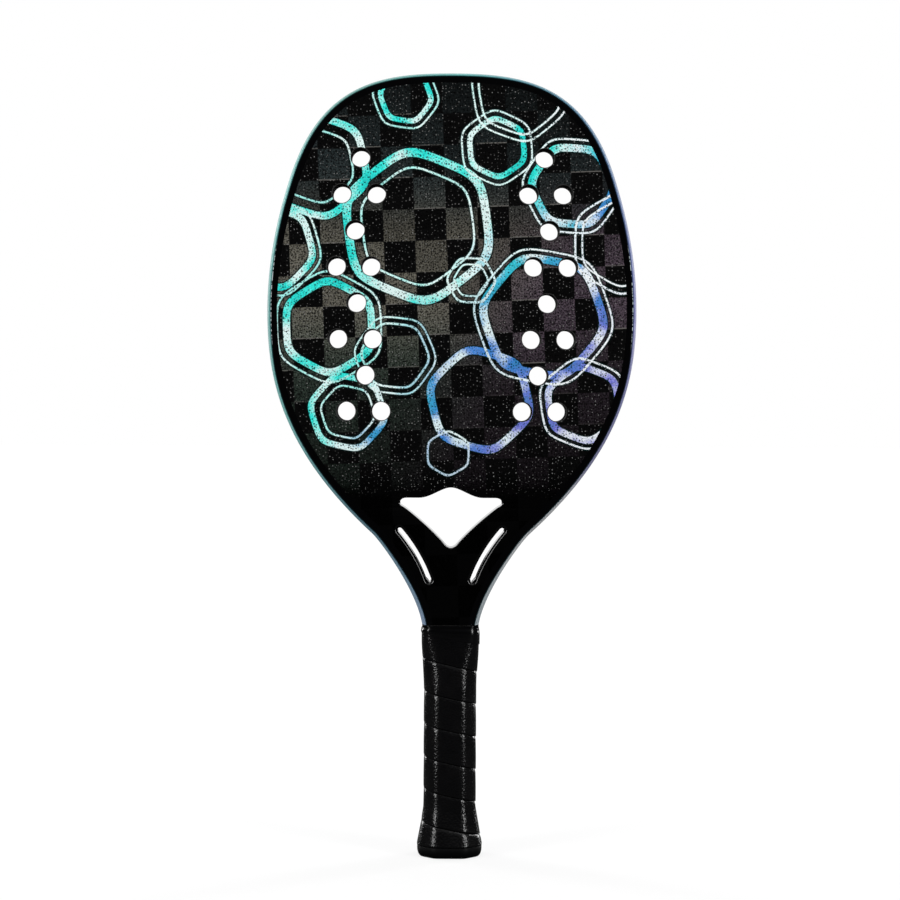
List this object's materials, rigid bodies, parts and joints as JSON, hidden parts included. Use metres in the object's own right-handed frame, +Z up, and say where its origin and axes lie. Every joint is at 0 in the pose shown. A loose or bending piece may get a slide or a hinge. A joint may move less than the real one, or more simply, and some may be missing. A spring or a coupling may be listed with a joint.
{
  "type": "beach tennis racket",
  "caption": "Beach tennis racket with a drilled carbon face, an open throat with a kite-shaped gap and slots, and an octagonal handle with a lapped grip.",
  "frame": {"origin": "centre of the flat butt end, the lowest point of the racket", "axes": "+Z up from the butt to the tip of the head, +X across the face, +Y through the thickness, away from the front face"},
  "size_m": [0.236, 0.0378, 0.5],
  "materials": {
    "face_carbon": "black carbon checker weave under a rough clear coat, with a blue-green foil print",
    "frame_film": "glossy film that turns from teal to blue and violet",
    "throat_gloss": "high gloss black",
    "core_foam": "dark closed-cell foam",
    "handle_foam": "hard moulded foam",
    "cap_rubber": "smooth black rubber",
    "staple_steel": "plain wire",
    "grip_leather": "fine-grained black cushion grip",
    "finish_film": "thin black tape"
  },
  "bodies": {
    "root": {"frame_tube": "frame_film", "foam_core": "core_foam", "throat_yoke": "throat_gloss", "front_face_skin": "face_carbon", "back_face_skin": "face_carbon", "handle_pallet_front": "handle_foam", "handle_pallet_back": "handle_foam", "butt_cap": "cap_rubber", "butt_staple_front": "staple_steel", "butt_staple_back": "staple_steel", "grip_tape": "grip_leather", "finishing_tape": "finish_film"}
  },
  "joints": []
}
